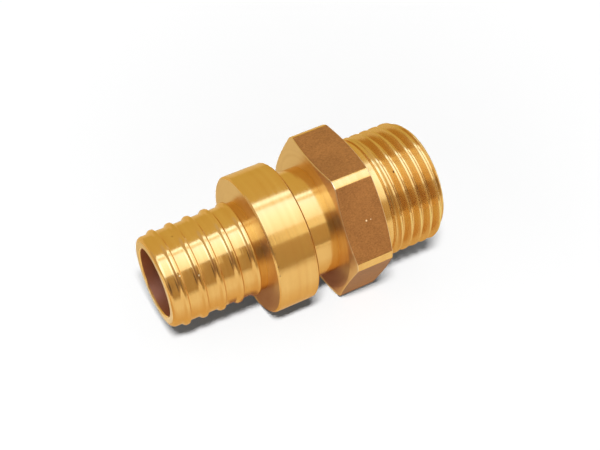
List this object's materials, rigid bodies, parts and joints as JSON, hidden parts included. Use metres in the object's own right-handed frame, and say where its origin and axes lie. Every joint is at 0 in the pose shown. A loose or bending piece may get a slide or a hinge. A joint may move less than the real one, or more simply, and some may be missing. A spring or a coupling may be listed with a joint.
{
  "type": "pex male adapter",
  "caption": "Turned brass adapter with a ribbed pipe spigot, stop collar, wrench hexagon and male pipe thread on one through bore.",
  "frame": {"origin": "centre of the hexagon's shoulder face, on the axis of the bore", "axes": "+X along the axis towards the end of the male thread, +Z square to a wrench flat"},
  "size_m": [0.0481, 0.028, 0.025],
  "materials": {
    "turned_brass": "turned bright, with dull drawn wrench flats"
  },
  "bodies": {
    "root": {"adapter_body": "turned_brass"}
  },
  "joints": []
}
